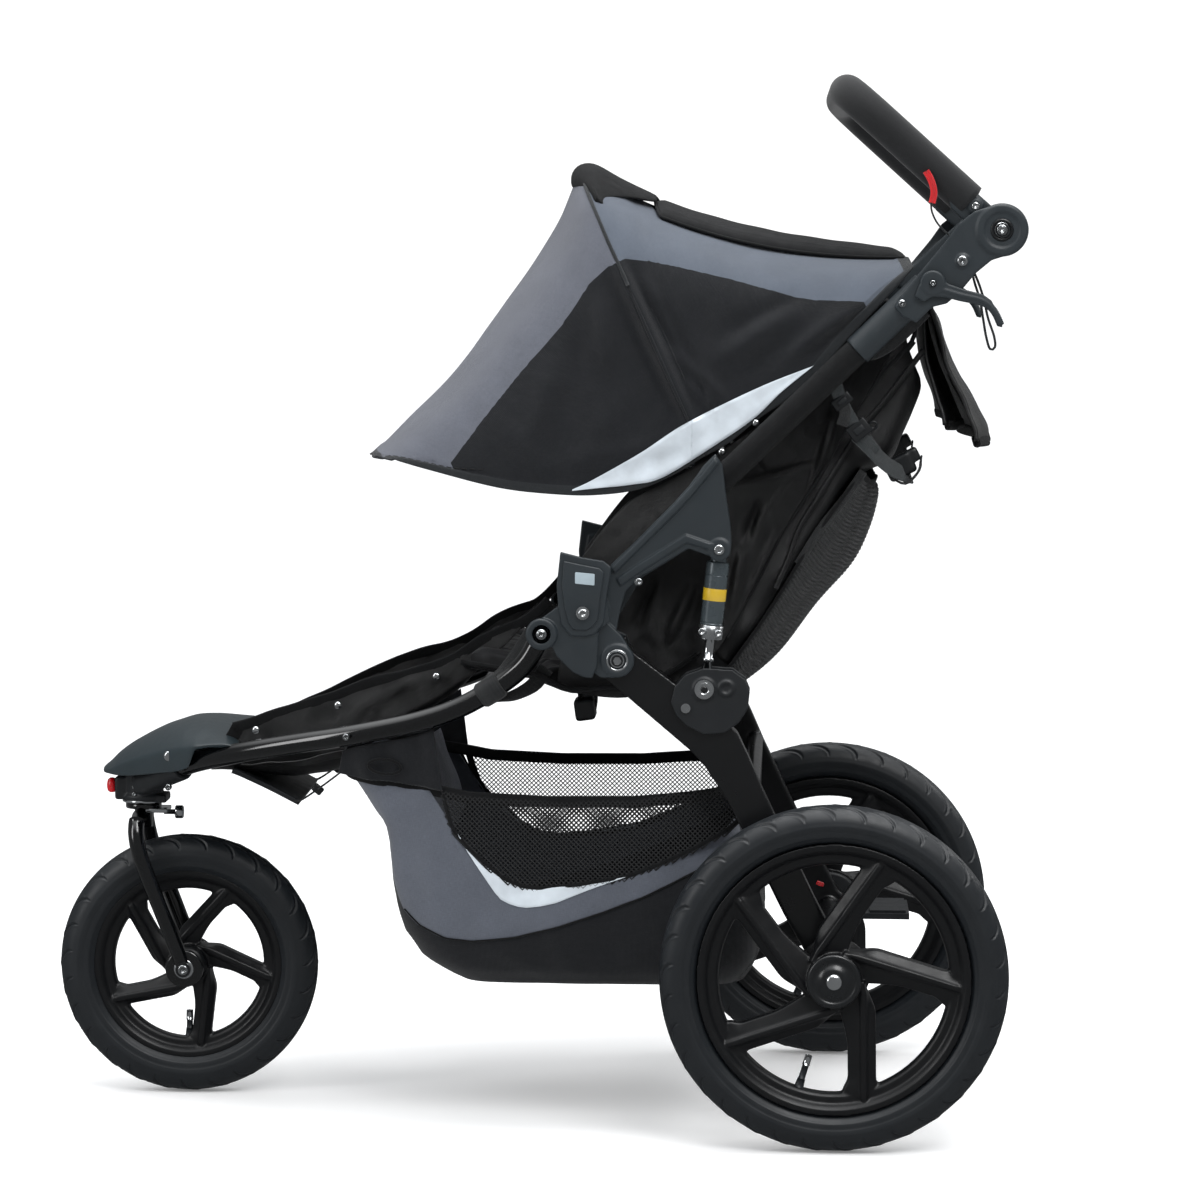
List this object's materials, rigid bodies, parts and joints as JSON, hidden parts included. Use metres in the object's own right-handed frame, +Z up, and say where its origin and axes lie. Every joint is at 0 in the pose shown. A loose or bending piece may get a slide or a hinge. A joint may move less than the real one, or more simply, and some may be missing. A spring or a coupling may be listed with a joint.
{
  "type": "jogging stroller",
  "caption": "Folding jogging stroller with sprung rear legs, swivelling front fork, air tyres, turning handlebar, hooped canopy, reclining sling seat and under-seat basket.",
  "frame": {"origin": "on the ground, under the middle of the outline seen from above", "axes": "+X to the front wheel, +Y to the stroller's left, +Z up"},
  "size_m": [1.143, 0.64, 1.2258],
  "materials": {
    "tube_black": "satin",
    "casting": "fine grain",
    "nose_cover": "fine grain",
    "steel": "zinc plated",
    "insert": "satin",
    "seat_fabric": "plain weave",
    "canopy_fabric": "twill",
    "basket_fabric": "twill and mesh",
    "pocket_mesh": "mesh",
    "webbing": "webbing",
    "shock": "satin",
    "rod": "polished",
    "tyre": "moulded",
    "wheel": "satin",
    "cap": "satin",
    "valve": "moulded",
    "red": "satin",
    "foam": "closed foam",
    "plate": "ribbed"
  },
  "bodies": {
    "root": {"front_frame": "tube_black", "fender": "nose_cover", "head_housing": "casting", "head_bearings": "steel", "hub_plates": "casting", "accessory_mounts": "insert", "fold_pins": "steel", "frame_bolts": "steel", "seat_base": "seat_fabric", "footwell": "seat_fabric", "foot_rest": "plate", "basket": "basket_fabric"},
    "upright": {"upright_tubes": "tube_black", "upright_feet": "casting", "top_castings": "casting", "casting_bolts": "steel", "canopy_mounts": "casting", "canopy": "canopy_fabric"},
    "seat_back": {"seat_back": "seat_fabric", "back_pocket": "pocket_mesh", "harness": "webbing"},
    "rear_carrier": {"rear_castings": "casting", "carrier_pins": "steel"},
    "shock_body": {"shock_bodies": "shock", "shock_collars": "steel"},
    "shock_rod": {"shock_rods": "rod"},
    "swing_arm": {"rear_legs": "tube_black", "rear_axles": "steel", "shock_brackets": "tube_black", "shock_pins": "steel", "brake_housings": "casting"},
    "brake_pedal": {"brake_pedal": "red"},
    "brake_pin_left": {"brake_pin_left": "steel"},
    "brake_pin_right": {"brake_pin_right": "steel"},
    "rear_wheel_left": {"rear_tyre_left": "tyre", "rear_wheel_left": "wheel", "rear_bearings_left": "steel", "hub_cap_left": "cap", "rear_valve_left": "valve"},
    "rear_wheel_right": {"rear_tyre_right": "tyre", "rear_wheel_right": "wheel", "rear_bearings_right": "steel", "hub_cap_right": "cap", "rear_valve_right": "valve"},
    "fork": {"fork": "tube_black", "front_axle": "steel"},
    "front_wheel": {"front_tyre": "tyre", "front_wheel": "wheel", "front_bearings": "steel", "front_valve": "valve"},
    "swivel_knob": {"swivel_knob": "red"},
    "tracking_knob": {"tracking_knob": "steel"},
    "handlebar": {"handlebar_tube": "casting", "foam_grip": "foam"},
    "release_lever_left": {"release_lever_left": "casting"},
    "release_lever_right": {"release_lever_right": "casting"},
    "latch_plunger_left": {"latch_plunger_left": "steel"},
    "latch_plunger_right": {"latch_plunger_right": "steel"},
    "main_bow": {"main_bow": "steel"},
    "front_bow": {"front_bow": "steel"}
  },
  "joints": [
    {"name": "upright_fold", "type": "hinge", "parent": "root", "child": "upright", "pos_m": [-0.0725, 0, 0.61], "axis": [0, 1, 0], "range_deg": [0, 126], "deforming": ["canopy", "seat_back", "back_pocket", "harness"]},
    {"name": "rear_fold", "type": "hinge", "parent": "root", "child": "rear_carrier", "pos_m": [-0.0725, 0, 0.61], "axis": [0, -1, 0], "range_deg": [0, 50], "deforming": ["basket"]},
    {"name": "suspension", "type": "hinge", "parent": "rear_carrier", "child": "swing_arm", "pos_m": [-0.1115, 0, 0.555], "axis": [0, 1, 0], "range_deg": [0, 10]},
    {"name": "shock_pivot", "type": "hinge", "parent": "rear_carrier", "child": "shock_body", "pos_m": [-0.2265, 0, 0.682], "axis": [0, 1, 0], "range_deg": [0, 0.9811]},
    {"name": "shock_rod_slide", "type": "slide", "parent": "shock_body", "child": "shock_rod", "axis": [-0.0995, 0, 0.995], "range_m": [0, 0.018]},
    {"name": "rear_wheel_left_spin", "type": "hinge", "parent": "swing_arm", "child": "rear_wheel_left", "pos_m": [-0.3605, 0.287, 0.199], "axis": [0, 1, 0], "continuous": true},
    {"name": "rear_wheel_right_spin", "type": "hinge", "parent": "swing_arm", "child": "rear_wheel_right", "pos_m": [-0.3605, -0.287, 0.199], "axis": [0, 1, 0], "continuous": true},
    {"name": "brake_pedal_press", "type": "hinge", "parent": "swing_arm", "child": "brake_pedal", "pos_m": [-0.3905, -0.12, 0.211], "axis": [0, -1, 0], "range_deg": [0, 22]},
    {"name": "brake_pin_left_slide", "type": "slide", "parent": "swing_arm", "child": "brake_pin_left", "axis": [0, 1, 0], "range_m": [0, 0.008]},
    {"name": "brake_pin_right_slide", "type": "slide", "parent": "swing_arm", "child": "brake_pin_right", "axis": [0, -1, 0], "range_m": [0, 0.008]},
    {"name": "fork_swivel", "type": "hinge", "parent": "root", "child": "fork", "pos_m": [0.4695, 0, 0.37], "axis": [0, 0, 1], "continuous": true},
    {"name": "front_wheel_spin", "type": "hinge", "parent": "fork", "child": "front_wheel", "pos_m": [0.4145, 0, 0.157], "axis": [0, 1, 0], "continuous": true},
    {"name": "swivel_lock_pull", "type": "slide", "parent": "root", "child": "swivel_knob", "axis": [1, 0, 0], "range_m": [0, 0.008]},
    {"name": "tracking_adjust", "type": "hinge", "parent": "fork", "child": "tracking_knob", "pos_m": [0.4255, 0, 0.34], "axis": [1, 0, 0], "range_deg": [0, 180]},
    {"name": "handlebar_tilt", "type": "hinge", "parent": "upright", "child": "handlebar", "pos_m": [-0.5415, 0, 1.045], "axis": [0, -1, 0], "range_deg": [0, 160]},
    {"name": "release_lever_left_squeeze", "type": "hinge", "parent": "upright", "child": "release_lever_left", "pos_m": [-0.4645, 0.249, 0.985], "axis": [0, 1, 0], "range_deg": [0, 20]},
    {"name": "release_lever_right_squeeze", "type": "hinge", "parent": "upright", "child": "release_lever_right", "pos_m": [-0.4645, -0.249, 0.985], "axis": [0, 1, 0], "range_deg": [0, 20]},
    {"name": "latch_plunger_left_slide", "type": "slide", "parent": "upright", "child": "latch_plunger_left", "axis": [-0.7192, 0, 0.6948], "range_m": [0, 0.008]},
    {"name": "latch_plunger_right_slide", "type": "slide", "parent": "upright", "child": "latch_plunger_right", "axis": [-0.7192, 0, 0.6948], "range_m": [0, 0.008]},
    {"name": "seat_recline", "type": "hinge", "parent": "upright", "child": "seat_back", "pos_m": [-0.2105, 0, 0.556], "axis": [0, 1, 0], "range_deg": [0, 15]},
    {"name": "canopy_main_bow_fold", "type": "hinge", "parent": "upright", "child": "main_bow", "pos_m": [-0.2405, 0, 0.772], "axis": [0, -1, 0], "range_deg": [0, 62]},
    {"name": "canopy_front_bow_fold", "type": "hinge", "parent": "main_bow", "child": "front_bow", "pos_m": [-0.2405, 0, 0.772], "axis": [0, -1, 0], "range_deg": [0, 36]}
  ],
  "couplings": [
    {"joint": "shock_pivot", "follows": "suspension", "ratio": 0.098106},
    {"joint": "shock_rod_slide", "follows": "suspension", "m_per_rad": 0.10313},
    {"joint": "brake_pin_left_slide", "follows": "brake_pedal_press", "m_per_rad": 0.020834},
    {"joint": "brake_pin_right_slide", "follows": "brake_pedal_press", "m_per_rad": 0.020834},
    {"joint": "latch_plunger_left_slide", "follows": "release_lever_left_squeeze", "m_per_rad": 0.022918},
    {"joint": "latch_plunger_right_slide", "follows": "release_lever_right_squeeze", "m_per_rad": 0.022918},
    {"joint": "canopy_main_bow_fold", "follows": "upright_fold", "ratio": 0.49206},
    {"joint": "canopy_front_bow_fold", "follows": "upright_fold", "ratio": 0.28571}
  ]
}
